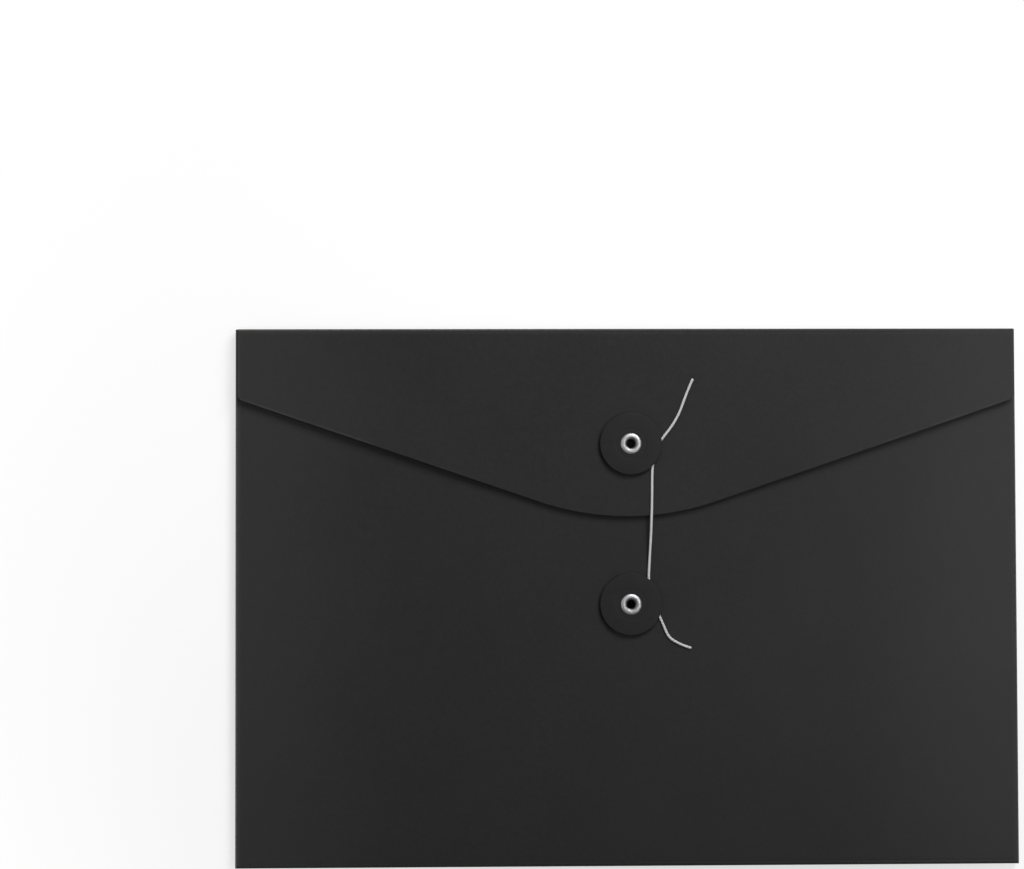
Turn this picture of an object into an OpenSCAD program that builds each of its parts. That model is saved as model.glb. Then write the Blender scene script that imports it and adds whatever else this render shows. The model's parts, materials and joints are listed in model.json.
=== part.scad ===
// Document folder of black kraft card with a button-and-string closure.
// One folded blank makes the pocket, the top spine and the flap. Two discs riveted on with eyelets
// hold a length of white string, which keeps the flap shut.
// The folder lies on its back: +X runs along the top fold, +Y points up to it, +Z comes out of the front.
// The origin is the middle of the back face.

/* [Folder] */
// Width of the closed folder, which takes A4 sheets laid sideways
folder_w = 330; // [320:1:360]
// Height of the closed folder, from the bottom fold to the top fold
folder_h = 226; // [220:1:250]
// Thickness of the card
card_t = 0.5; // [0.4:0.05:0.6]
// Clear depth of the pocket
pocket_depth = 5; // [5:0.5:15]
// Gap between the bead of the top crease and the pocket's mouth
mouth_gap = 0.4; // [0.3:0.1:20]
// Outside radius of the pocket's folds
fold_r = 1; // [0.8:0.1:1.5]

/* [Glue tabs] */
// Width of a glue tab
tab_w = 15; // [10:1:25]
// Length that a tab loses at each end towards its inner edge
tab_taper = 8; // [4:1:15]

/* [Top creases] */
// Radius of the bead that the scored card rolls into at a crease
bead_r = 0.8; // [0.5:0.05:1]
// Clearance round the bead
bead_clear = 0.15; // [0.1:0.05:0.3]

/* [Flap] */
// Drop from the top fold to the flap's tip
flap_drop = 79; // [72:0.5:90]
// Drop from the top fold to the end of the flap's straight sides
flap_side_drop = 29.5; // [20:0.5:40]
// Clearance between the flap's sides and the folds of the side walls
flap_side_clear = 0.25; // [0.2:0.05:3]
// Radius of the round tip
flap_tip_r = 115; // [90:1:130]
// Radius of the two side corners
flap_corner_r = 3; // [1:0.5:6]
// Clearance between the upper rivet and the front panel
flap_clear = 1.5; // [0.2:0.1:2.5]

/* [Buttons] */
// Diameter of a disc
disc_d = 26; // [22:0.5:30]
// Thickness of a disc
disc_t = 0.8; // [0.6:0.1:1.5]
// Bevel round a disc's upper rim
disc_bevel = 0.25; // [0.1:0.05:0.4]
// Distance of the button line to the right of the folder's middle
button_x = 1.25; // [-5:0.25:5]
// Drop from the top fold to the upper button
upper_drop = 48.5; // [44:0.5:54]
// Drop from the top fold to the lower button
lower_drop = 116; // [110:0.5:122]
// Diameter of the spacer ring under a disc
spacer_d = 7; // [6:0.5:9]
// Room that the spacer ring leaves over the string
string_room = 0.2; // [0.2:0.1:1]

/* [Eyelets] */
// Diameter of the domed flange
flange_d = 9; // [8:0.5:11]
// Height of the domed flange
flange_h = 0.7; // [0.5:0.1:1]
// Outside diameter of the barrel
barrel_d = 4.5; // [4:0.1:5]
// Wall of the barrel
barrel_wall = 0.4; // [0.3:0.05:0.6]
// Clearance of the barrel in what it passes through
barrel_clear = 0.05; // [0.03:0.01:0.1]
// Play of a disc between its spacer ring and its flange, on each face
disc_play = 0.05; // [0.03:0.01:0.2]
// Diameter of the washer behind the card
washer_d = 9; // [8:0.5:11]
// Thickness of the washer
washer_t = 0.3; // [0.2:0.05:0.5]
// Diameter of the rolled end
clinch_d = 6.8; // [6:0.1:7.5]
// Height of the rolled end
clinch_h = 0.4; // [0.3:0.05:0.6]

/* [String] */
// Diameter of the string
string_d = 1.2; // [0.8:0.1:1.5]
// Clearance between the string and the card that it lies on
string_lift = 0.1; // [0.05:0.05:0.2]

/* [Hidden] */
$fn = 96;

card_colour = "#2f2f30";
fold_colour = "#38383a";
fibre_colour = "#29292a";
metal_colour = "#c9cbcd";
string_colour = "#e4e3df";

// Overlap that lets a cut pass right through
through = 1;

// Plan of the folder
side_x = folder_w / 2;
top_y = folder_h / 2;
bottom_y = -folder_h / 2;
fold_x = side_x - fold_r;
fold_y = bottom_y + fold_r;
crease_y = top_y - bead_r;
mouth_y = crease_y - bead_r - mouth_gap;

// Heights of the layers, from the back face up
back_top = card_t;
front_z = back_top + pocket_depth;
front_top = front_z + card_t;
rivet_depth = washer_t + clinch_h;
flap_z = front_top + flap_clear + rivet_depth;
flap_top = flap_z + card_t;

// Heights of the two top creases' axes
lower_crease_z = bead_r;
upper_crease_z = flap_top - bead_r;

// Flap: centre of the tip's arc, and where the sloping edge leaves it
flap_x = fold_x - flap_side_clear;
flap_side_y = top_y - flap_side_drop;
tip_y = top_y - flap_drop + flap_tip_r;
to_side = [flap_x, flap_side_y - tip_y];
tip_angle = atan2(to_side[1], to_side[0]) - acos(flap_tip_r / norm(to_side));
slope = tip_angle + 90;

// Buttons, measured from the outer face of the card that they are on
upper_at = [button_x, top_y - upper_drop, flap_top];
lower_at = [button_x, top_y - lower_drop, front_top];
hole_d = barrel_d + 2 * barrel_clear;
bore_r = barrel_d / 2 - barrel_wall;
spacer_h = string_lift + string_d + string_room;
disc_z = spacer_h + disc_play;
flange_z = disc_z + disc_t + disc_play;
clinch_z = -card_t - washer_t;

// String: distance to the right of the button line, drop from the top fold, and height as a share
// of the step up from the front panel to the flap
string_points = [
    [26.3, 21.2, 1], [24.6, 25, 1], [22.7, 29.8, 1], [20.8, 34.8, 1], [18.9, 38.6, 1], [16.4, 42.4, 1],
    [14.1, 45.3, 1], [12.2, 48, 1], [10.8, 50.8, 1], [9.9, 53.8, 1], [9.3, 57, 1], [9, 61, 1],
    [8.9, 68, 1], [8.8, 75, 1], [8.6, 80.5, 1], [8.4, 87, 0.7], [8.1, 93.5, 0.35], [7.8, 99.5, 0.1],
    [7.6, 104.5, 0], [7.8, 109, 0], [8.7, 113.5, 0], [10, 117, 0], [11.7, 120.5, 0], [13, 123.3, 0],
    [14.4, 126.6, 0], [15.3, 128.5, 0], [16.5, 130.2, 0], [18.5, 131.7, 0], [21.8, 133.3, 0], [25.5, 134.6, 0]
];
string_sides = 8;
string_steps = 2;
string_z = front_top + string_lift + string_d / 2;
string_route = [
    for (p = string_points)
        [button_x + p[0], top_y - p[1], string_z + p[2] * (flap_top - front_top)]
];

// Points along an arc
arc_steps = 24;
function arc(centre, r, from, to) = [
    for (k = [0 : arc_steps])
        let (a = from + (to - from) * k / arc_steps)
            centre + r * [cos(a), sin(a)]
];

// Smooth curve through a list of points
function near(list, k) = list[max(0, min(len(list) - 1, k))];
function smooth_point(a, b, c, d, t) =
    b + t / 2 * (c - a + t * (2 * a - 5 * b + 4 * c - d + t * (3 * (b - c) + d - a)));
function smooth(list, steps) = [
    for (k = [0 : (len(list) - 1) * steps])
        let (i = floor(k / steps), t = k / steps - i)
            smooth_point(near(list, i - 1), near(list, i), near(list, i + 1), near(list, i + 2), t)
];

function unit(v) = v / norm(v);

// One ring of a tube's points, square to the curve
function tube_ring(curve, k, r, sides) =
    let (
        along = unit(near(curve, k + 1) - near(curve, k - 1)),
        across = unit(cross(along, [0, 0, 1])),
        up = cross(across, along)
    )
    [for (s = [0 : sides - 1]) curve[k] + r * (cos(360 * s / sides) * across + sin(360 * s / sides) * up)];

module tube(curve, d, sides) {
    last = len(curve) - 1;
    points = [for (k = [0 : last]) each tube_ring(curve, k, d / 2, sides)];
    walls = [
        for (k = [0 : last - 1], s = [0 : sides - 1])
            let (a = k * sides + s, b = k * sides + (s + 1) % sides)
                each [[a, a + sides, b], [b, a + sides, b + sides]]
    ];
    start = [for (s = [1 : sides - 2]) [0, s, s + 1]];
    end = [for (f = start) [for (k = [2 : -1 : 0]) last * sides + f[k]]];
    polyhedron(points, concat(walls, start, end));
}

// Card strip with a quarter fold at each end, drawn from its outer face
module folded_strip(height) {
    translate([0, fold_r])
        square([card_t, height - 2 * fold_r]);
    for (end = [0, 1])
        translate([fold_r, end * height + (1 - 2 * end) * fold_r])
            mirror([0, end])
                intersection() {
                    difference() {
                        circle(fold_r);
                        circle(fold_r - card_t);
                    }
                    translate([-fold_r, -fold_r])
                        square(fold_r);
                }
}

// Bar along a top crease
module crease_bar(r, z, length) {
    translate([0, crease_y, z])
        rotate([0, 90, 0])
            cylinder(r = r, h = length, center = true);
}

module ring(d, h) {
    difference() {
        cylinder(d = d, h = h);
        translate([0, 0, -through])
            cylinder(d = hole_d, h = h + 2 * through);
    }
}

// Section of a rolled metal rim, from the bore out to a radius
module rolled_rim(r, h) {
    half = (r - bore_r) / 2;
    curve_r = (half * half + h * h) / (2 * h);
    intersection() {
        translate([bore_r + half, h - curve_r])
            circle(curve_r);
        translate([bore_r, 0])
            square([2 * half, h]);
    }
}

module back_panel() {
    color(card_colour)
        difference() {
            translate([-side_x, fold_y, 0])
                cube([folder_w, crease_y - fold_y, card_t]);
            crease_bar(bead_r + bead_clear, lower_crease_z, folder_w + 2 * through);
        }
}

module bottom_spine() {
    color(fold_colour)
        intersection() {
            translate([-side_x, bottom_y, 0])
                rotate([90, 0, 90])
                    linear_extrude(folder_w)
                        folded_strip(front_top);
            linear_extrude(front_top)
                polygon([[-side_x, bottom_y], [side_x, bottom_y], [fold_x, fold_y], [-fold_x, fold_y]]);
        }
}

module front_panel() {
    color(card_colour)
        difference() {
            translate([-fold_x, fold_y, front_z])
                cube([2 * fold_x, mouth_y - fold_y, card_t]);
            translate(lower_at - [0, 0, card_t + through])
                cylinder(d = hole_d, h = card_t + 2 * through);
        }
}

module left_side_wall() {
    color(fold_colour)
        intersection() {
            translate([-side_x, top_y, back_top])
                rotate([90, 0, 0])
                    linear_extrude(folder_h)
                        folded_strip(front_top - back_top);
            linear_extrude(front_top)
                polygon([[-side_x, bottom_y], [-fold_x, fold_y], [-fold_x, top_y], [-side_x, top_y]]);
        }
}

module right_side_wall() {
    mirror([1, 0, 0])
        left_side_wall();
}

module left_glue_tab() {
    start_y = fold_y + card_t;
    color(card_colour)
        translate([-fold_x, 0, back_top])
            linear_extrude(card_t)
                polygon([
                    [0, start_y], [tab_w, start_y + tab_taper],
                    [tab_w, mouth_y - tab_taper], [0, mouth_y]
                ]);
}

module right_glue_tab() {
    mirror([1, 0, 0])
        left_glue_tab();
}

module top_spine() {
    color(fold_colour)
        difference() {
            union() {
                crease_bar(bead_r, lower_crease_z, 2 * flap_x);
                translate([-flap_x, top_y - card_t, lower_crease_z])
                    cube([2 * flap_x, card_t, upper_crease_z - lower_crease_z]);
            }
            crease_bar(bead_r + bead_clear, upper_crease_z, folder_w);
        }
}

// Half of the flap's edge, from the middle of the tip up to the crease
function flap_edge() =
    let (
        corner_rise = flap_corner_r * tan(45 - slope / 2),
        corner = [flap_x - flap_corner_r, flap_side_y + corner_rise]
    )
    concat(
        arc([0, tip_y], flap_tip_r, -90, tip_angle),
        arc(corner, flap_corner_r, tip_angle, 0),
        [[flap_x, crease_y]]
    );

module flap() {
    right = flap_edge();
    left = [for (k = [len(right) - 1 : -1 : 1]) [-right[k][0], right[k][1]]];
    color(card_colour)
        difference() {
            union() {
                crease_bar(bead_r, upper_crease_z, 2 * flap_x);
                translate([0, 0, flap_z])
                    linear_extrude(card_t)
                        polygon(concat(right, left));
            }
            translate(upper_at - [0, 0, card_t + through])
                cylinder(d = hole_d, h = card_t + 2 * through);
        }
}

module button_disc() {
    color(fibre_colour)
        rotate_extrude()
            polygon([
                [hole_d / 2, 0], [disc_d / 2, 0], [disc_d / 2, disc_t - disc_bevel],
                [disc_d / 2 - disc_bevel, disc_t], [hole_d / 2, disc_t]
            ]);
}

module spacer_ring() {
    color(fibre_colour)
        ring(spacer_d, spacer_h);
}

module eyelet() {
    color(metal_colour)
        rotate_extrude() {
            translate([bore_r, clinch_z])
                square([barrel_wall, flange_z - clinch_z]);
            translate([0, flange_z])
                rolled_rim(flange_d / 2, flange_h);
            translate([0, clinch_z])
                mirror([0, 1])
                    rolled_rim(clinch_d / 2, clinch_h);
        }
}

module eyelet_washer() {
    color(metal_colour)
        ring(washer_d, washer_t);
}

module upper_button_disc() {
    translate(upper_at + [0, 0, disc_z])
        button_disc();
}

module lower_button_disc() {
    translate(lower_at + [0, 0, disc_z])
        button_disc();
}

module upper_spacer_ring() {
    translate(upper_at)
        spacer_ring();
}

module lower_spacer_ring() {
    translate(lower_at)
        spacer_ring();
}

module upper_eyelet() {
    translate(upper_at)
        eyelet();
}

module lower_eyelet() {
    translate(lower_at)
        eyelet();
}

module upper_eyelet_washer() {
    translate(upper_at + [0, 0, clinch_z])
        eyelet_washer();
}

module lower_eyelet_washer() {
    translate(lower_at + [0, 0, clinch_z])
        eyelet_washer();
}

module string() {
    color(string_colour)
        tube(smooth(string_route, string_steps), string_d, string_sides);
}

back_panel();
bottom_spine();
front_panel();
left_side_wall();
right_side_wall();
left_glue_tab();
right_glue_tab();
top_spine();
flap();
upper_button_disc();
lower_button_disc();
upper_spacer_ring();
lower_spacer_ring();
upper_eyelet();
lower_eyelet();
upper_eyelet_washer();
lower_eyelet_washer();
string();
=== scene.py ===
import json
import math

import bmesh
import bpy
import numpy as np
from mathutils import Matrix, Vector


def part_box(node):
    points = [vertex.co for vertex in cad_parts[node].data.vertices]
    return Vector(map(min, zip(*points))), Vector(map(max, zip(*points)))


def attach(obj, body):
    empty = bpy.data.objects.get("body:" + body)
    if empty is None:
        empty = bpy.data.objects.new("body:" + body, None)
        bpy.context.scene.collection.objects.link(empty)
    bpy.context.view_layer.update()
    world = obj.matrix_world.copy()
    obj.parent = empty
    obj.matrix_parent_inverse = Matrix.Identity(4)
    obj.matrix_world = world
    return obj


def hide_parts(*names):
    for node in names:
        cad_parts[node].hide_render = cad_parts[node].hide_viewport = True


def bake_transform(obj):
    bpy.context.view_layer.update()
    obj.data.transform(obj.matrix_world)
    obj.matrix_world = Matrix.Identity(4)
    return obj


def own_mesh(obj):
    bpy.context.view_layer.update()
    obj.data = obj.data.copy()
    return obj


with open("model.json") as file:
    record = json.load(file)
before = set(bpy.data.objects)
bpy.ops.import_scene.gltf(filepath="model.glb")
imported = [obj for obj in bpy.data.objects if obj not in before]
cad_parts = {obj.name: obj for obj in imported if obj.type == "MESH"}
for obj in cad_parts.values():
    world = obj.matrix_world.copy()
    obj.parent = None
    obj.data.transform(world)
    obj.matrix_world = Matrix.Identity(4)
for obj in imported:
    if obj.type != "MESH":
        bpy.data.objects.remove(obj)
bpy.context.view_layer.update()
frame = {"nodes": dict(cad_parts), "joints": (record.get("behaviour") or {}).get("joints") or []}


# Back sheet: the big rear panel that the folder lies on, black kraft card half a millimetre thick.
# It is die cut in one blank with the other panels, and the cutting rule leaves a soft, paler edge.
# Pieces are measured in millimetres, and places in a finish and in the studio in metres.
MM = 0.001
EDGE_ROUND = 0.1
EDGE_SEGMENTS = 2
CUT_ANGLE = math.radians(50)
CRISP_ANGLE = math.radians(28)
GRID_GAP = 8
EDGE_LOOP = 0.3
CARD_DARK = (0.0164, 0.0164, 0.0168, 1)
CARD_LIGHT = (0.0258, 0.0257, 0.0260, 1)
CARD_FIBRE = (0.050, 0.049, 0.048, 1)
# A paler colour for wear, and for painted highlight and sheen on folds, rims and the card's ends.
CARD_WEAR_AND_HIGHLIGHT = (0.105, 0.103, 0.100, 1)
CARD_GLOSS = 0.081
CARD_ROUGH = 0.31
CARD_RELIEF = 0.03
# CLOUDS are the scale and detail of a noise, and FROM_TO is where a share starts and where it is full.
DYE_CLOUDS = (22, 3)
DYE_SHARE = 0.45
PULP_CLOUDS = (520, 4)
PULP_ROUGH = 0.06
PULP_RELIEF = 0.5
GRAIN_CLOUDS = (2600, 2)
GRAIN_ROUGH = 0.04
GRAIN_RELIEF = 0.3
FIBRE_LAYERS = ((17, 2.4), (-38, 2.0), (74, 2.2), (-71, 1.8), (49, 2.6))
FIBRE_WIDTH = 0.2
FIBRE_FROM_TO = (0.64, 0.78)
FIBRE_SHARE = 0.2
FIBRE_RELIEF = 0.2
FOLD_FROM_TO = (0.004, 0.07)
CUT_FROM_TO = (0.15, 0.85)
# Noise that breaks up the paler wear and painted highlight.
BREAKUP_CLOUDS = (900, 3)
BREAKUP_FROM_TO = (0.3, 0.62)
BREAKUP_LEAST = 0.35
# Painted sheen with handling wear: the card is painted paler towards its left and right ends.
HANDLING_AND_SHEEN_FROM = 0.09
HANDLING_AND_SHEEN_TO = 0.166
HANDLING_AND_SHEEN_SHARE = 0.09
# Painted highlight and wear along the fold rims: at the sides, and at the top towards the left end only.
SIDE_MARGIN = (0.1622, 0.1638)
TOP_MARGIN = (0.1106, 0.1122)
TOP_MARGIN_FADE = (0.09, -0.05)
RIM_WEAR_AND_HIGHLIGHT_SHARE = 0.17
# Painted highlight and wear along the flap's free edge, broken up by noise.
FREE_EDGE_CLOUDS = (70, 2)
FREE_EDGE_FROM_TO = (0.42, 0.62)
# Painted highlight and wear on cut edges: the left end is painted lighter than the right.
FLAT_WEAR_AND_HIGHLIGHT = (0.7, 0.5)


class Shade:
    """A shader socket for Python expressions: an operator adds a Math node, and node() adds any other."""

    def __init__(self, tree, socket=None):
        self.tree = tree
        self.socket = socket

    def node(self, kind, settings, inputs, output=0):
        made = self.tree.nodes.new(kind)
        for name, value in settings.items():
            setattr(made, name, value)
        for key, value in inputs.items():
            if isinstance(value, Shade):
                self.tree.links.new(value.socket, made.inputs[key])
            else:
                made.inputs[key].default_value = value
        return Shade(self.tree, made.outputs[output] if made.outputs else None)

    def math(self, operation, first, second=0.0):
        return self.node("ShaderNodeMath", {"operation": operation}, {0: first, 1: second})

    def most(self, other):
        return self.math("MAXIMUM", self, other)

    def __add__(self, other):
        return self.math("ADD", self, other)

    def __sub__(self, other):
        return self.math("SUBTRACT", self, other)

    def __rsub__(self, other):
        return self.math("SUBTRACT", other, self)

    def __mul__(self, other):
        return self.math("MULTIPLY", self, other)

    def __abs__(self):
        return self.math("ABSOLUTE", self)

    __radd__ = __add__
    __rmul__ = __mul__


def noise(where, scale, detail):
    """Cloudy variation from 0 to 1, with about that many clouds to a unit of length."""
    return where.node("ShaderNodeTexNoise", {}, {"Vector": where, "Scale": scale, "Detail": detail})


def streaks(where, turn_deg, length, width):
    """Noise drawn out into streaks of that length and width, turned in the plane of the card."""
    inputs = {
        "Vector": where,
        "Rotation": (0, 0, math.radians(turn_deg)),
        "Scale": (length * MM, width * MM, width * MM),
    }
    return noise(where.node("ShaderNodeMapping", {"vector_type": "TEXTURE"}, inputs), 1, 1)


def step(value, low, high):
    """0 at low, 1 at high and smooth between them."""
    inputs = {"Value": value, "From Min": low, "From Max": high}
    return value.node("ShaderNodeMapRange", {"interpolation_type": "SMOOTHSTEP"}, inputs)


def tint(share, first, second):
    """A colour on the way from the first to the second."""
    return share.node("ShaderNodeMix", {"data_type": "RGBA"}, {0: share, 6: first, 7: second}, 2)


def part_of(vector, axis):
    """One of the three numbers of a vector."""
    return vector.node("ShaderNodeSeparateXYZ", {}, {"Vector": vector}, axis)


def new_finish(name):
    """An empty material, the place of a point on its piece and the way that the surface faces there."""
    material = bpy.data.materials.new(name)
    material.use_nodes = True
    material.node_tree.nodes.clear()
    start = Shade(material.node_tree)
    where = start.node("ShaderNodeTexCoord", {}, {}, "Object")
    facing = start.node("ShaderNodeTexCoord", {}, {}, "Normal")
    return material, where, facing


def surface(height, depth, sockets):
    """A surface shader with a relief of that many millimetres."""
    bump = height.node("ShaderNodeBump", {}, {"Height": height, "Distance": depth * MM})
    return height.node("ShaderNodeBsdfPrincipled", {}, {"Normal": bump, **sockets})


def close_finish(shader):
    """Makes a shader the one that its material shows."""
    shader.node("ShaderNodeOutputMaterial", {}, {"Surface": shader})


def card_finish(name, folded, wear_and_highlight_ends, free_edge_wear_and_highlight=None):
    """Dyed kraft card: uneven dye, clumped pulp, fibres every way, and paler cut edges and folds.

    Cut edges are paler from wear; folds and fold rims are painted paler as wear and painted highlight,
    and both ends of the card are painted paler as sheen and handling wear. The two shares given for the
    ends say how pale the wear and painted highlight are at the left end and at the right end: the left
    end is painted lighter, where the light falls more.
    """
    material, where, facing = new_finish(name)
    dye = noise(where, *DYE_CLOUDS)
    pulp = noise(where, *PULP_CLOUDS)
    grain = noise(where, *GRAIN_CLOUDS)
    fibres = 0.0
    for turn_deg, length in FIBRE_LAYERS:
        fibres = fibres + step(streaks(where, turn_deg, length, FIBRE_WIDTH), *FIBRE_FROM_TO)
    across, along, up = (abs(part_of(facing, axis)) for axis in "XYZ")
    # Folds get paler arcs, as wear and painted highlight; flat card gets paler cut edges from wear.
    if folded:
        wear_and_highlight = step(1 - across.most(along).most(up), *FOLD_FROM_TO)
    else:
        wear_and_highlight = step(1 - up, *CUT_FROM_TO)
    wear_and_highlight = wear_and_highlight * (BREAKUP_LEAST + (1 - BREAKUP_LEAST) * step(noise(where, *BREAKUP_CLOUDS), *BREAKUP_FROM_TO))
    right, upward = (part_of(where, axis) for axis in "XY")
    # Painted light: the wear and highlight are painted paler at the left end than at the right end.
    at_left, at_right = wear_and_highlight_ends
    pale = at_left + (at_right - at_left) * step(right, -HANDLING_AND_SHEEN_TO, HANDLING_AND_SHEEN_TO)
    # Painted sheen with handling wear, paler towards the left and right ends.
    handled = step(abs(right), HANDLING_AND_SHEEN_FROM, HANDLING_AND_SHEEN_TO)
    # Painted highlight and wear along the fold rims; the top rim fades out towards the right end.
    side_rim_wear_and_highlight = step(abs(right), *SIDE_MARGIN)
    top_rim_wear_and_highlight = step(upward, *TOP_MARGIN) * step(right, *TOP_MARGIN_FADE)
    rim_wear_and_highlight = side_rim_wear_and_highlight.most(top_rim_wear_and_highlight)
    # Painted highlight and wear along a free edge, broken up by noise.
    if free_edge_wear_and_highlight:
        edge = free_edge_wear_and_highlight(abs(right), upward)
        rim_wear_and_highlight = rim_wear_and_highlight.most(edge * step(noise(where, *FREE_EDGE_CLOUDS), *FREE_EDGE_FROM_TO))
    colour = tint(DYE_SHARE * dye + (1 - DYE_SHARE) * pulp, CARD_DARK, CARD_LIGHT)
    colour = tint(FIBRE_SHARE * fibres, colour, CARD_FIBRE)
    colour = tint(HANDLING_AND_SHEEN_SHARE * handled + pale * (wear_and_highlight + RIM_WEAR_AND_HIGHLIGHT_SHARE * rim_wear_and_highlight), colour, CARD_WEAR_AND_HIGHLIGHT)
    roughness = CARD_ROUGH + PULP_ROUGH * pulp + GRAIN_ROUGH * grain
    height = PULP_RELIEF * pulp + GRAIN_RELIEF * grain + FIBRE_RELIEF * fibres
    sockets = {"Base Color": colour, "Roughness": roughness, "Specular IOR Level": CARD_GLOSS}
    close_finish(surface(height, CARD_RELIEF, sockets))
    return material


def box_mm(node):
    """Lowest and highest corner of a CAD node, in millimetres."""
    low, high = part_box(node)
    return np.array(low) / MM, np.array(high) / MM


def shade_crisp(mesh):
    """Smooth on curves and crisp at edges."""
    mesh.shade_smooth()
    mesh.set_sharp_from_angle(angle=CRISP_ANGLE)


def add_piece(name, points, faces, material):
    """A closed piece from points in millimetres, with its faces turned outwards."""
    mesh = bpy.data.meshes.new(name)
    mesh.from_pydata(np.array(points) * MM, [], faces)
    turned_out = bmesh.new()
    turned_out.from_mesh(mesh)
    bmesh.ops.recalc_face_normals(turned_out, faces=turned_out.faces)
    turned_out.to_mesh(mesh)
    turned_out.free()
    mesh.materials.append(material)
    shade_crisp(mesh)
    piece = bpy.data.objects.new(name, mesh)
    bpy.context.scene.collection.objects.link(piece)
    return piece


def make_final(piece):
    """Replaces a piece's mesh by what its modifiers make of it."""
    graph = bpy.context.evaluated_depsgraph_get()
    mesh = bpy.data.meshes.new_from_object(piece.evaluated_get(graph))
    piece.modifiers.clear()
    piece.data = mesh
    shade_crisp(mesh)


def round_edges(piece):
    """Rounds the cut edges of a piece of card."""
    rounding = piece.modifiers.new("cut_edge", "BEVEL")
    rounding.width = EDGE_ROUND * MM
    rounding.segments = EDGE_SEGMENTS
    rounding.angle_limit = CUT_ANGLE
    make_final(piece)


def card_sheet(name, outer, through, material):
    """A sheet of card from a grid of points on its outer face and the way through to its inner face."""
    columns, rows = outer.shape[:2]
    count = columns * rows
    outside = outer.reshape(-1, 3)
    corners = [c * rows + r for c in range(columns - 1) for r in range(rows - 1)]
    faces = [(a, a + rows, a + rows + 1, a + 1) for a in corners]
    faces += [tuple(count + k for k in reversed(f)) for f in faces]
    rim = [c * rows for c in range(columns)]
    rim += [count - rows + r for r in range(1, rows)]
    rim += [c * rows + rows - 1 for c in range(columns - 2, -1, -1)]
    rim += list(range(rows - 2, 0, -1))
    faces += [(b, a, count + a, count + b) for a, b in zip(rim, rim[1:] + rim[:1])]
    return add_piece(name, np.concatenate([outside, outside + through]), faces, material)


def spaced(low, high, close=(EDGE_LOOP,)):
    """Even places from low to high, and more at these distances from either end."""
    even = np.linspace(low, high, round((high - low) / GRID_GAP) + 1)
    near_ends = [low + c for c in close] + [high - c for c in close]
    return np.unique(np.concatenate([even, near_ends]).round(4))


def put_in_place(piece, body, slot, *nodes):
    """Says which body a piece moves with and which CAD nodes it stands for; the slot, for its finish, is not
    used.
    """
    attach(piece, body)
    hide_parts(*nodes)


joint_at = {joint["name"]: np.array(joint["pos_m"]) / MM for joint in frame["joints"]}
crease_y = joint_at["spine_fold"][1]
flat_card = card_finish("black_card", False, FLAT_WEAR_AND_HIGHLIGHT)
back_low, back_high = box_mm("back_panel")
card_t = back_high[2] - back_low[2]
xs = spaced(back_low[0], back_high[0])
ys = spaced(back_low[1], crease_y)
places = [[(x, y, back_low[2]) for y in ys] for x in xs]
back_sheet = card_sheet("back_sheet", np.array(places), (0, 0, card_t), flat_card)
round_edges(back_sheet)
put_in_place(back_sheet, "pocket", "card", "back_panel")


# Bottom spine, side walls and glue tabs: the narrow strips that give the pocket its depth.
# They are scored and folded from the same card, and the tabs are glued down inside on the back sheet.
# Painted highlight and wear on the folds: paler at the left end, and little on the bottom fold, in shade.
SIDE_WEAR_AND_HIGHLIGHT = (0.95, 0.6)
BOTTOM_WEAR_AND_HIGHLIGHT = (0.1, 0.1)


def dress(node, material):
    """Gives a CAD node its finish."""
    materials = frame["nodes"][node].data.materials
    materials.clear()
    materials.append(material)


side_card = card_finish("black_card_sides", True, SIDE_WEAR_AND_HIGHLIGHT)
dress("bottom_spine", card_finish("black_card_bottom", True, BOTTOM_WEAR_AND_HIGHLIGHT))
for wall in ("left_side_wall", "right_side_wall"):
    dress(wall, side_card)
for tab in ("left_glue_tab", "right_glue_tab"):
    dress(tab, flat_card)


# Front sheet: the panel in front, which hangs in the folds round it and has a straight mouth at the top.
# The folds bow the card a little, a score runs inside each fold, and a hole is punched for the rivet.
FRONT_BOW = 0.45
SCORE_DEPTH = 0.05
SCORE_GAP = 0.7
SCORE_HALF = 0.35
SCORE_PLACES = (0.2, 0.4, 0.55, 0.7, 0.85, 1.0, 1.3, 2, 4)
RIVET_HOLE = 4.6
HOLE_SIDES = 90


def skin(name, loops, material, closed=False):
    """A piece from loops of points, each joined to the next, with the ends capped or joined together."""
    loops = np.array(loops)
    count, size = loops.shape[:2]
    faces = []
    for a in range(count if closed else count - 1):
        b = (a + 1) % count
        for k in range(size):
            after = (k + 1) % size
            faces.append((a * size + k, b * size + k, b * size + after, a * size + after))
    if not closed:
        faces.append(tuple(range(size)))
        faces.append(tuple(range((count - 1) * size, count * size)))
    return add_piece(name, loops.reshape(-1, 3), faces, material)


def punch(sheet, at):
    """Cuts the rivet's hole through a sheet."""
    angles = np.linspace(0, 2 * math.pi, HOLE_SIDES, endpoint=False)
    ring = RIVET_HOLE / 2 * np.stack([np.cos(angles), np.sin(angles), 0 * angles], 1)
    cutter = skin("punch", [ring + at - (0, 0, RIVET_HOLE), ring + at + (0, 0, RIVET_HOLE)], flat_card)
    hole = sheet.modifiers.new("rivet_hole", "BOOLEAN")
    hole.object = cutter
    make_final(sheet)
    bpy.data.objects.remove(cutter)


front_low, front_high = box_mm("front_panel")


def front_height(x, y):
    """Height of the front sheet's outer face: bowed between the folds, and pressed in at the scores."""
    from_fold = min(front_high[0] - abs(x), y - front_low[1])
    score = math.exp(-(((from_fold - SCORE_GAP) / SCORE_HALF) ** 2))
    across = math.sin(math.pi * x / front_high[0]) ** 2
    down = math.sin(math.pi * (y - front_low[1]) / (front_high[1] - front_low[1]))
    return front_high[2] + FRONT_BOW * across * down - SCORE_DEPTH * score


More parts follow.
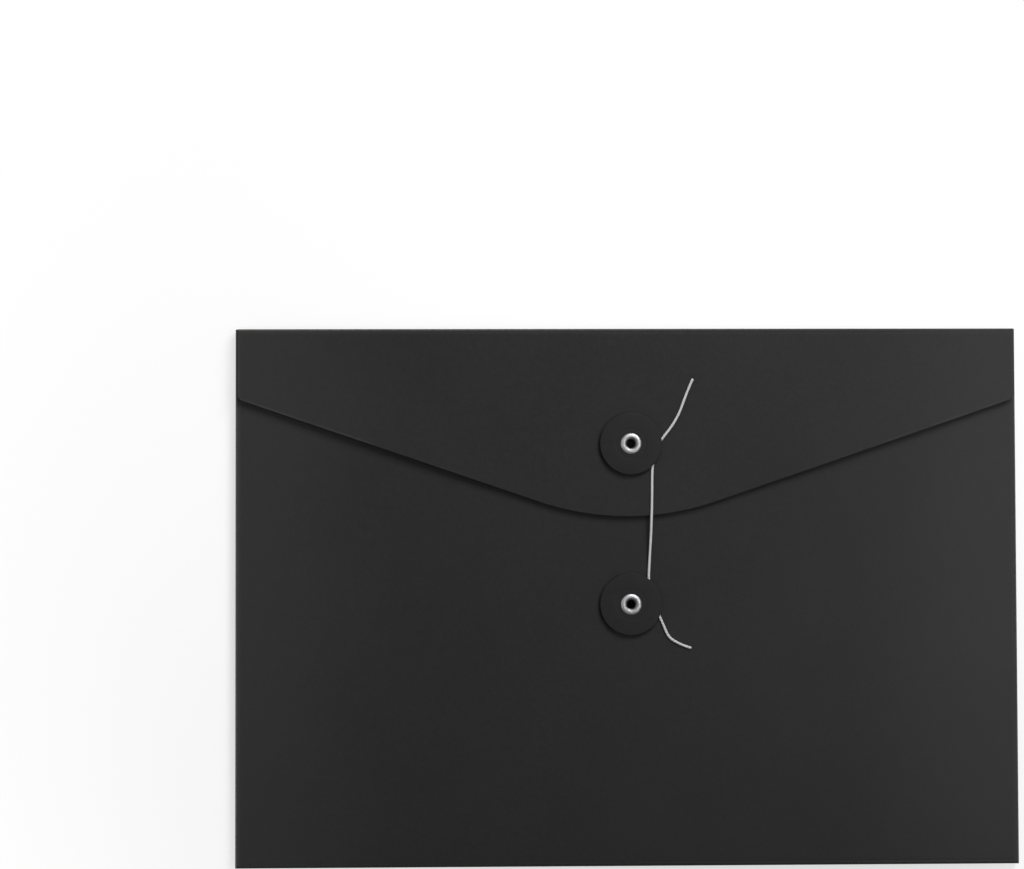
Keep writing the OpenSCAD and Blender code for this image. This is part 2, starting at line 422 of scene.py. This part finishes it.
xs = spaced(front_low[0], front_high[0], SCORE_PLACES)
ys = spaced(front_low[1], front_high[1], SCORE_PLACES)
places = [[(x, y, front_height(x, y)) for y in ys] for x in xs]
front_sheet = card_sheet("front_sheet", np.array(places), (0, 0, -card_t), flat_card)
punch(front_sheet, joint_at["lower_button_spin"])
round_edges(front_sheet)
put_in_place(front_sheet, "pocket", "card", "front_panel")


# Top spine: the narrow strip of card between the two top creases, as deep as the pocket.
# It stands up behind the mouth, and folds back flat with the flap when the folder is opened.
# Painted highlight and wear on the top folds: strong at the left end and almost none at the right.
TOP_WEAR_AND_HIGHLIGHT = (0.9, 0.05)
spine_low, spine_high = box_mm("top_spine")
flap_crease_z = joint_at["flap_fold"][2]
spine_crease_z = joint_at["spine_fold"][2]
top_card = card_finish("black_card_top", True, TOP_WEAR_AND_HIGHLIGHT)
xs = spaced(spine_low[0], spine_high[0])
zs = spaced(spine_crease_z, flap_crease_z)
places = [[(x, spine_high[1], z) for z in zs] for x in xs]
spine_sheet = card_sheet("spine_sheet", np.array(places), (0, -card_t, 0), top_card)
round_edges(spine_sheet)
put_in_place(spine_sheet, "top_spine", "card", "top_spine")


# Flap: the closing panel with straight sloping edges and a round tip, die cut and punched for the rivet.
# The card keeps a little spring: the string holds the tip down, and the wings stand up at either side of it.
FLAP_SIDE_DROP = 29.5
FLAP_TIP_R = 115
FLAP_CORNER_R = 3
WING_LIFT = 1.1
WING_START = 30
WING_FULL = 85
WING_ENDS = (110, 163)
WING_END_LOSS = 0.6
FLAP_SHARES = (*np.linspace(0.05, 0.95, 19), 0.995, 1)
FLAP_MARGIN = (1.1, 0.5)
FLAP_MARGIN_FADE = (0.05, 0.14)
FLAP_COLUMNS = 48
CORNER_STEPS = 5
flap_low, flap_high = box_mm("flap")
top_y = flap_high[1]
tip_centre_y = flap_low[1] + FLAP_TIP_R
corner_drop = tip_centre_y - (top_y - FLAP_SIDE_DROP)
to_corner = math.hypot(flap_high[0], corner_drop)
slope = math.pi / 2 - math.atan2(corner_drop, flap_high[0]) - math.acos(FLAP_TIP_R / to_corner)
corner_x = flap_high[0] - FLAP_CORNER_R
corner_y = top_y - FLAP_SIDE_DROP + FLAP_CORNER_R * math.tan(math.pi / 4 - slope / 2)


def flap_edge(x):
    """Where the flap's free edge lies, at a distance from the middle."""
    tip_end = FLAP_TIP_R * math.sin(slope)
    if x <= tip_end:
        return tip_centre_y - math.sqrt(FLAP_TIP_R**2 - x**2)
    if x <= corner_x + FLAP_CORNER_R * math.sin(slope):
        return tip_centre_y - FLAP_TIP_R * math.cos(slope) + (x - tip_end) * math.tan(slope)
    return corner_y - math.sqrt(max(0, FLAP_CORNER_R**2 - (x - corner_x) ** 2))


def flap_rim_wear_and_highlight(right, upward):
    """Painted highlight and wear on the free edge, more towards its ends: the tip is round, the rest
    straight.
    """
    down = tip_centre_y * MM - upward
    to_straight = right * math.sin(slope) + down * math.cos(slope)
    to_round = right.math("SQRT", right * right + down * down)
    in_tip = step(down * math.tan(slope) - right, 0, MM)
    reach = to_straight + in_tip * (to_round - to_straight)
    edge = step(reach, *((FLAP_TIP_R - inside) * MM for inside in FLAP_MARGIN))
    return edge * step(right, *FLAP_MARGIN_FADE)


def ease(value, low, high):
    """0 up to low, 1 from high on and smooth between them."""
    share = min(1, max(0, (value - low) / (high - low)))
    return share * share * (3 - 2 * share)


def wing_lift(x):
    """How far the free edge stands up: not at the tip, most halfway out and less at the short ends."""
    return WING_LIFT * ease(x, WING_START, WING_FULL) * (1 - WING_END_LOSS * ease(x, *WING_ENDS))


def flap_column(x):
    """Points down the flap: some close together at the score, then evenly spread to the free edge."""
    reach = crease_y - flap_edge(abs(x))
    spread = SCORE_PLACES[-1] + (reach - SCORE_PLACES[-1]) * np.array(FLAP_SHARES)
    column = []
    for drop in (0, *SCORE_PLACES, *spread):
        lift = wing_lift(abs(x)) * (drop / reach) ** 2
        score = SCORE_DEPTH * math.exp(-(((drop - SCORE_GAP) / SCORE_HALF) ** 2))
        column.append((x, crease_y - drop, flap_high[2] + lift - score))
    return column


corner_xs = corner_x + FLAP_CORNER_R * np.sin(np.linspace(0, math.pi / 2, CORNER_STEPS + 1))
half_xs = np.unique(np.concatenate([np.linspace(0, corner_x, FLAP_COLUMNS), corner_xs]).round(5))
xs = np.concatenate([-half_xs[:0:-1], half_xs])
places = [flap_column(x) for x in xs]
flap_card = card_finish("black_card_flap", False, FLAT_WEAR_AND_HIGHLIGHT, flap_rim_wear_and_highlight)
flap_sheet = card_sheet("flap_sheet", np.array(places), (0, 0, -card_t), flap_card)
punch(flap_sheet, joint_at["upper_button_spin"])
round_edges(flap_sheet)
put_in_place(flap_sheet, "flap", "card", "flap")


# Top creases: the two scored lines where the same card bends from the back sheet into the spine and on
# into the flap. The bend is painted pale, as wear and painted highlight.
CREASE_STEPS = 10


def crease(name, joint, from_deg, to_deg):
    """The bent card round a crease's axis."""
    axis_y, axis_z = joint_at[joint][1:]
    outer_r = top_y - crease_y
    inner_r = outer_r - card_t
    angles = np.radians(np.linspace(from_deg, to_deg, CREASE_STEPS + 1))
    bend = [(outer_r * math.cos(a), outer_r * math.sin(a)) for a in angles]
    bend += [(inner_r * math.cos(a), inner_r * math.sin(a)) for a in angles[::-1]]
    xs = spaced(spine_low[0], spine_high[0])
    loops = [[(x, axis_y + y, axis_z + z) for y, z in bend] for x in xs]
    piece = skin(name, loops, top_card)
    ends = [(0, (axis_y + bend[k][0]) * MM, (axis_z + bend[k][1]) * MM) for k in (0, CREASE_STEPS)]
    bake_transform(piece)


crease("lower_crease", "spine_fold", -90, 0)
crease("upper_crease", "flap_fold", 0, 90)


# Spacer rings and button discs: black vulcanised fibre, punched from board. A ring keeps each disc off the
# card so that the string goes under it, and the disc, pressed from three plies, turns on its rivet.
DISC_PLIES = 3
PLY_GROOVE = 0.03
DISC_ROUND = 0.22
DISC_ROUND_STEPS = 6
PRESS_R = 6.2
PRESS_DEPTH = 0.05
PRESS_HALF = 0.3
PRESS_PLACES = np.linspace(0.8, -0.8, 9)
RING_ROUND = 0.08
TURNED_STEPS = 120
FIBRE_DARK = (0.0128, 0.0128, 0.0132, 1)
FIBRE_LIGHT = (0.0204, 0.0204, 0.0207, 1)
FIBRE_PALE = (0.040, 0.039, 0.038, 1)
FIBRE_GLOSS = 0.09
FIBRE_ROUGH = 0.38
FIBRE_DEPTH = 0.02
BOARD_CLOUDS = (160, 3)
BOARD_SHARE = 0.4
PRESSED_CLOUDS = (1500, 4)
PRESSED_ROUGH = 0.12
PRESSED_RELIEF = 0.6
STRAND_LAYERS = ((40, 1.6, 0.62, 0.76), (-55, 1.8, 0.64, 0.78))
STRAND_WIDTH = 0.2
STRAND_SHARE = 0.3
RIM_FROM_TO = (0.3, 0.95)
RIM_CLOUDS = (2400, 2)
RIM_LEAST = 0.4
RIM_SHARE = 0.6


def turned(name, outline, at, material):
    """A round piece: an outline of radius and height, turned about an upright axis."""
    angles = np.linspace(0, 2 * math.pi, TURNED_STEPS, endpoint=False)
    loops = [[(r * math.cos(a), r * math.sin(a), z) for r, z in outline] for a in angles]
    return skin(name, np.array(loops) + at, material, closed=True)


def quarter(r, z, radius, from_deg, steps=4):
    """Points of a quarter round, anticlockwise about its centre."""
    angles = np.radians(np.linspace(from_deg, from_deg + 90, steps + 1))
    return [(r + radius * math.cos(a), z + radius * math.sin(a)) for a in angles]


def ring_outline(inner, outer, height, rounding):
    """A flat ring with rounded edges."""
    return [
        *quarter(inner + rounding, rounding, rounding, 180),
        *quarter(outer - rounding, rounding, rounding, 270),
        *quarter(outer - rounding, height - rounding, rounding, 0),
        *quarter(inner + rounding, height - rounding, rounding, 90),
    ]


def disc_outline(inner, outer, height):
    """A disc whose rim shows its plies and whose upper face is pressed in a ring round the rivet."""
    rim = quarter(outer - RING_ROUND, RING_ROUND, RING_ROUND, 270)
    for ply in range(1, DISC_PLIES):
        z = height * ply / DISC_PLIES
        if z + PLY_GROOVE < height - DISC_ROUND:
            rim += [(outer, z - PLY_GROOVE), (outer - PLY_GROOVE, z), (outer, z + PLY_GROOVE)]
    rim += quarter(outer - DISC_ROUND, height - DISC_ROUND, DISC_ROUND, 0, DISC_ROUND_STEPS)
    press = []
    for offset in PRESS_PLACES:
        dip = PRESS_DEPTH * math.exp(-((offset / PRESS_HALF) ** 2))
        press.append((PRESS_R + offset, height - dip))
    hole = quarter(inner + RING_ROUND, height - RING_ROUND, RING_ROUND, 90)
    return [*quarter(inner + RING_ROUND, RING_ROUND, RING_ROUND, 180), *rim, *press, *hole]


def fibre_finish():
    """Vulcanised fibre: dense and dull, with a fine pressed grain and pale fibres where it is cut."""
    material, where, facing = new_finish("black_fibre")
    cloud = noise(where, *BOARD_CLOUDS)
    grain = noise(where, *PRESSED_CLOUDS)
    layers = []
    for turn_deg, length, low, high in STRAND_LAYERS:
        layers.append(step(streaks(where, turn_deg, length, STRAND_WIDTH), low, high))
    strands = layers[0] + layers[1]
    rim = step(1 - abs(part_of(facing, "Z")), *RIM_FROM_TO)
    rim = rim * (RIM_LEAST + (1 - RIM_LEAST) * noise(where, *RIM_CLOUDS))
    colour = tint(BOARD_SHARE * cloud + (1 - BOARD_SHARE) * grain, FIBRE_DARK, FIBRE_LIGHT)
    colour = tint(STRAND_SHARE * strands, colour, FIBRE_PALE)
    colour = tint(RIM_SHARE * rim, colour, FIBRE_PALE)
    roughness = FIBRE_ROUGH + PRESSED_ROUGH * grain
    height = PRESSED_RELIEF * grain + (1 - PRESSED_RELIEF) * strands
    sockets = {"Base Color": colour, "Roughness": roughness, "Specular IOR Level": FIBRE_GLOSS}
    close_finish(surface(height, FIBRE_DEPTH, sockets))
    return material


black_fibre = fibre_finish()
disc_bodies = (("upper", "flap", "upper_button"), ("lower", "pocket", "lower_button"))
for place, card_body, button_body in disc_bodies:
    at = joint_at[f"{place}_button_spin"] * (1, 1, 0)
    low, high = box_mm(f"{place}_spacer_ring")
    outline = ring_outline(RIVET_HOLE / 2, (high[0] - low[0]) / 2, high[2] - low[2], RING_ROUND)
    spacer = turned(f"{place}_spacer", outline, at + (0, 0, low[2]), black_fibre)
    put_in_place(spacer, card_body, "fibre", f"{place}_spacer_ring")
    low, high = box_mm(f"{place}_button_disc")
    outline = disc_outline(RIVET_HOLE / 2, (high[0] - low[0]) / 2, high[2] - low[2])
    disc = turned(f"{place}_disc", outline, at + (0, 0, low[2]), black_fibre)
    put_in_place(disc, button_body, "fibre", f"{place}_button_disc")


# Eyelets and washers: bright aluminium, drawn as a tube with a domed flange and rolled over behind the card.
# Each eyelet rivets its disc, ring and card to a thin washer, and shows fine rings from the setting tool.
BORE_R = 1.85
BARREL_R = 2.25
FLANGE_H = 0.7
CLINCH_R = 3.4
CLINCH_H = 0.4
METAL_BRIGHT = (0.50, 0.50, 0.51, 1)
METAL_DULL = (0.32, 0.32, 0.33, 1)
# Painted shade: the flange is darker towards both its edges, where its slopes would reflect the dark card.
METAL_SLOPE_SHADE = (0.06, 0.06, 0.06, 1)
METAL_ROUGH = 0.36
METAL_RELIEF = 0.006
CROWN_R = 3.45
DOME_STEPS = 20
TOOL_RINGS = (9000, 3)
TOOL_RING_SHARE = 0.25
TOOL_RING_ROUGH = 0.12
SPOT_CLOUDS = (1100, 3)
SPOT_FROM_TO = (0.5, 0.72)
SPOT_SHARE = 0.45
SPOT_ROUGH = 0.12
SCRATCHES = (30, 2.2, 0.07)
SCRATCH_FROM_TO = (0.62, 0.7)
SCRATCH_ROUGH = 0.1
SCRATCH_RELIEF = 0.5
SLOPE_SHADE_FROM_TO = (0.2 * MM, 1.3 * MM)
SLOPE_SHADE_LEAST = 0.75


def dome(outer, height):
    """The curved face of a rolled rim, from its outer edge in to the bore."""
    angles = np.linspace(0, math.pi, DOME_STEPS + 1)
    half = (outer - BORE_R) / 2
    return [(BORE_R + half * (1 + math.cos(a)), height * math.sin(a)) for a in angles]


def metal_finish(name, at):
    """Satin aluminium with the setting tool's rings, and painted shade on both slopes of the rolled flange.
    """
    material, where, _ = new_finish(name)
    ends = {0: where, 1: at * MM}
    from_axis = where.node("ShaderNodeVectorMath", {"operation": "DISTANCE"}, ends, "Value")
    rings = noise(from_axis.node("ShaderNodeCombineXYZ", {}, {"X": from_axis}), *TOOL_RINGS)
    spots = step(noise(where, *SPOT_CLOUDS), *SPOT_FROM_TO)
    scratches = step(streaks(where, *SCRATCHES), *SCRATCH_FROM_TO)
    # Painted shade on both slopes of the flange, away from its crown, deeper where the dull spots lie.
    slope_shade = step(abs(from_axis - CROWN_R * MM), *SLOPE_SHADE_FROM_TO)
    colour = tint(SPOT_SHARE * spots + TOOL_RING_SHARE * rings, METAL_BRIGHT, METAL_DULL)
    colour = tint(slope_shade * (SLOPE_SHADE_LEAST + (1 - SLOPE_SHADE_LEAST) * spots), colour, METAL_SLOPE_SHADE)
    roughness = METAL_ROUGH + TOOL_RING_ROUGH * rings + SPOT_ROUGH * spots + SCRATCH_ROUGH * scratches
    sockets = {"Base Color": colour, "Roughness": roughness, "Metallic": 1.0}
    close_finish(surface(rings + SCRATCH_RELIEF * scratches, METAL_RELIEF, sockets))
    return material


for place, body in (("upper", "flap"), ("lower", "pocket")):
    at = joint_at[f"{place}_button_spin"] * (1, 1, 0)
    low, high = box_mm(f"{place}_eyelet")
    metal = metal_finish(f"{place}_aluminium", at + (0, 0, high[2]))
    height = high[2] - low[2]
    flange = [(r, height - FLANGE_H + z) for r, z in dome((high[0] - low[0]) / 2, FLANGE_H)]
    clinch = [(r, CLINCH_H - z) for r, z in dome(CLINCH_R, CLINCH_H)]
    outline = [*clinch[::-1], (BARREL_R, CLINCH_H), (BARREL_R, height - FLANGE_H), *flange]
    eyelet = turned(f"{place}_rivet", outline, at + (0, 0, low[2]), metal)
    put_in_place(eyelet, body, "eyelet_metal", f"{place}_eyelet")
    low, high = box_mm(f"{place}_eyelet_washer")
    outline = ring_outline(RIVET_HOLE / 2, (high[0] - low[0]) / 2, high[2] - low[2], RING_ROUND)
    washer = turned(f"{place}_washer", outline, at + (0, 0, low[2]), metal)
    put_in_place(washer, body, "eyelet_metal", f"{place}_eyelet_washer")


# String: one length of white cotton twine, three plies laid together, cut off bare at both ends.
# It lies on the flap, goes under the right-hand rims of both discs and ends on the front sheet.
# A point is a distance right of the buttons, a drop from the top fold and a share of the step to the flap.
STRING_POINTS = [
    (26.3, 21.2, 1), (24.6, 25, 1), (22.7, 29.8, 1), (20.8, 34.8, 1), (18.9, 38.6, 1), (16.4, 42.4, 1),
    (14.1, 45.3, 1), (12.2, 48, 1), (10.8, 50.8, 1), (9.9, 53.8, 1), (9.3, 57, 1), (9, 61, 1),
    (8.9, 68, 1), (8.8, 75, 1), (8.6, 80.5, 1), (8.4, 87, 0.7), (8.1, 93.5, 0.35), (7.8, 99.5, 0.1),
    (7.6, 104.5, 0), (7.8, 109, 0), (8.7, 113.5, 0), (10, 117, 0), (11.7, 120.5, 0), (13, 123.3, 0),
    (14.4, 126.6, 0), (15.3, 128.5, 0), (16.5, 130.2, 0), (18.5, 131.7, 0), (21.8, 133.3, 0),
    (25.5, 134.6, 0),
]
STRING_D = 1.2
STRING_LIFT = 0.1
STRING_STEPS = 12
STRING_SIDES = 30
PLIES = 3
LAY = 4.0
PLY_R = 0.464
VALLEY = 0.78
SLUBS = ((0.03, 2.1, 0), (0.02, 5.3, 1))
END_OPEN = 1.5
END_DEEPER = 0.3
END_CLOSE = 0.3
END_SHARE = 0.45
COTTON_LIGHT = (0.64, 0.638, 0.632, 1)
COTTON_DARK = (0.42, 0.418, 0.412, 1)
COTTON_GLOSS = 0.2
COTTON_ROUGH = 0.82
COTTON_RELIEF = 0.04
COTTON_SHEEN = 0.12
COTTON_SHEEN_ROUGH = 0.5
FLUFF_CLOUDS = (5200, 4)
FLUFF_SHARE = 0.45
FLUFF_ROUGH = 0.14
FLUFF_RELIEF = 0.6
GREY_CLOUDS = (240, 3)
GREY_SHARE = 0.35
HAIRS = (62, 0.9, 0.09)
HAIR_SHARE = 0.2


def smooth_curve(points, steps):
    """A smooth curve through the points, with that many steps from each to the next."""
    points = np.array(points)
    padded = np.concatenate([points[:1], points, points[-1:]])
    curve = []
    for a, b, c, d in zip(padded, padded[1:], padded[2:], padded[3:]):
        for t in np.arange(steps) / steps:
            curve.append(b + t / 2 * (c - a + t * (2 * a - 5 * b + 4 * c - d + t * (3 * (b - c) + d - a))))
    return np.array([*curve, points[-1]])


def ply_reach(angle, valley):
    """How far the laid plies reach at that angle, as a share of the string's radius."""
    turn = 2 * math.pi / PLIES
    off = (angle + turn / 2) % turn - turn / 2
    side = (1 - PLY_R) * math.sin(off)
    return max(valley, (1 - PLY_R) * math.cos(off) + math.sqrt(max(0, PLY_R**2 - side**2)))


def cotton_finish():
    """Cotton twine: soft and dull, with fine fibres and a little grey handled into it."""
    material, where, _ = new_finish("white_cotton")
    fluff = noise(where, *FLUFF_CLOUDS)
    grey = noise(where, *GREY_CLOUDS)
    hairs = streaks(where, *HAIRS)
    share = FLUFF_SHARE * fluff + GREY_SHARE * grey + HAIR_SHARE * hairs
    sockets = {
        "Base Color": tint(share, COTTON_LIGHT, COTTON_DARK),
        "Roughness": COTTON_ROUGH + FLUFF_ROUGH * fluff,
        "Specular IOR Level": COTTON_GLOSS,
        "Sheen Weight": COTTON_SHEEN,
        "Sheen Roughness": COTTON_SHEEN_ROUGH,
    }
    close_finish(surface(FLUFF_RELIEF * fluff + (1 - FLUFF_RELIEF) * hairs, COTTON_RELIEF, sockets))
    return material


flap_step = flap_high[2] - front_high[2]
string_z = front_high[2] + STRING_LIFT + STRING_D / 2
button_x = joint_at["upper_button_spin"][0]
route = []
for right, drop, up in STRING_POINTS:
    route.append((button_x + right, top_y - drop, string_z + up * flap_step))
curve = smooth_curve(route, STRING_STEPS)
run = np.concatenate([[0], np.cumsum(np.linalg.norm(np.diff(curve, axis=0), axis=1))])
loops = []
for k, (centre, gone) in enumerate(zip(curve, run)):
    along = curve[min(k + 1, len(curve) - 1)] - curve[max(k - 1, 0)]
    along = along / np.linalg.norm(along)
    aside = np.cross(along, (0, 0, 1))
    aside = aside / np.linalg.norm(aside)
    above = np.cross(aside, along)
    from_end = min(gone, run[-1] - gone)
    opened = 1 - ease(from_end, 0, END_OPEN)
    slub = 1
    for depth, rate, start in SLUBS:
        slub = slub + depth * math.sin(rate * gone + start)
    close = END_SHARE + (1 - END_SHARE) * ease(from_end, 0, END_CLOSE)
    radius = STRING_D / 2 * min(1, slub) * close
    loop = []
    for angle in np.linspace(0, 2 * math.pi, STRING_SIDES, endpoint=False):
        reach = radius * ply_reach(angle - 2 * math.pi * gone / LAY, VALLEY - END_DEEPER * opened)
        loop.append(centre + reach * (math.cos(angle) * aside + math.sin(angle) * above))
    loops.append(loop)
string = skin("string_twine", loops, cotton_finish())
put_in_place(string, "pocket", "cotton_string", "string")
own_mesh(string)


# Studio: a pale round floor that sweeps up into a white backdrop far out, and three square soft lamps.
# The largest stands at the upper right, and the ones at the right and at the left put a sheen on the card.
FLOOR_R = 11.0
SWEEP_R = 3.0
SWEEP_STEPS = 12
FLOOR_DROP = 0.0002
FLOOR_LIGHT = (0.97, 0.97, 0.97, 1)
FLOOR_DARK = (0.95, 0.95, 0.95, 1)
FLOOR_CLOUDS = (3, 4)
FLOOR_GRAIN = (400, 2)
FLOOR_RELIEF = 0.02
FLOOR_ROUGH = 0.9
FLOOR_GLOSS = 0.1
BACKDROP_NEAR = 0.6
BACKDROP_FROM_TO = (0.15, 0.32)
WHITE = (1, 1, 1, 1)
AMBIENT = 0.15
# A lamp has a name, a place, watts and the length of its side.
LAMPS = (
    ("key_lamp", (0.27, 0.62, 0.72), 8.3, 0.50),
    ("right_lamp", (0.50, -0.05, 1.10), 2.3, 0.40),
    ("left_lamp", (-0.35, 0.05, 0.40), 0.4, 0.40),
)
CAMERA_AT = (-0.06672, 0.04569, 0.84547)
CAMERA_DEG = (1.562, -1.232, -0.155)
CAMERA_LENS = 70
CAMERA_SENSOR = 36
CAMERA_NEAR = 0.01


def floor_finish():
    """Pale board that keeps a soft shadow, and turns plain white to the eye and in metal further out."""
    material, where, _ = new_finish("pale_floor")
    colour = tint(noise(where, *FLOOR_CLOUDS), FLOOR_LIGHT, FLOOR_DARK)
    sockets = {"Base Color": colour, "Roughness": FLOOR_ROUGH, "Specular IOR Level": FLOOR_GLOSS}
    board = surface(noise(where, *FLOOR_GRAIN), FLOOR_RELIEF, sockets)
    white = where.node("ShaderNodeEmission", {}, {"Color": WHITE, "Strength": 1.0})
    seen = where.node("ShaderNodeLightPath", {}, {}, "Is Camera Ray")
    for ray in ("Is Glossy Ray", "Is Transmission Ray"):
        seen = seen.most(where.node("ShaderNodeLightPath", {}, {}, ray))
    away = where.node("ShaderNodeVectorMath", {"operation": "LENGTH"}, {0: where}, "Value")
    share = seen * (BACKDROP_NEAR + (1 - BACKDROP_NEAR) * step(away, *BACKDROP_FROM_TO))
    close_finish(where.node("ShaderNodeMixShader", {}, {0: share, 1: board, 2: white}))
    return material


rise = np.linspace(0, math.pi / 2, SWEEP_STEPS + 1)
around = np.linspace(0, 2 * math.pi, TURNED_STEPS, endpoint=False)
points = []
for b in rise:
    out = FLOOR_R + SWEEP_R * math.sin(b)
    up = SWEEP_R * (1 - math.cos(b)) - FLOOR_DROP
    points += [(out * math.cos(a), out * math.sin(a), up) for a in around]
faces = [tuple(range(TURNED_STEPS))]
for first in range(0, SWEEP_STEPS * TURNED_STEPS, TURNED_STEPS):
    for k in range(TURNED_STEPS):
        after = (k + 1) % TURNED_STEPS
        faces.append((first + k, first + after, first + TURNED_STEPS + after, first + TURNED_STEPS + k))
floor_mesh = bpy.data.meshes.new("floor")
floor_mesh.from_pydata(points, [], faces)
floor_mesh.materials.append(floor_finish())
floor = bpy.data.objects.new("floor", floor_mesh)
bpy.context.scene.collection.objects.link(floor)

for name, at, watts, size in LAMPS:
    light = bpy.data.lights.new(name, "AREA")
    light.energy = watts
    light.size = size
    lamp = bpy.data.objects.new(name, light)
    lamp.location = at
    lamp.rotation_euler = (-lamp.location).to_track_quat("-Z", "Y").to_euler()
    lamp.visible_camera = False
    bpy.context.scene.collection.objects.link(lamp)

world = bpy.data.worlds.new("studio")
world.use_nodes = True
world.node_tree.nodes.clear()
sky = Shade(world.node_tree)
background = sky.node("ShaderNodeBackground", {}, {"Color": WHITE, "Strength": AMBIENT})
sky.node("ShaderNodeOutputWorld", {}, {"Surface": background})
bpy.context.scene.world = world

camera_data = bpy.data.cameras.new("camera")
camera_data.lens = CAMERA_LENS
camera_data.sensor_width = CAMERA_SENSOR
camera_data.clip_start = CAMERA_NEAR
camera = bpy.data.objects.new("camera", camera_data)
camera.location = CAMERA_AT
camera.rotation_euler = [math.radians(angle) for angle in CAMERA_DEG]
bpy.context.scene.collection.objects.link(camera)
bpy.context.scene.camera = camera
bpy.context.scene.view_settings.view_transform = "Standard"

bpy.context.view_layer.update()
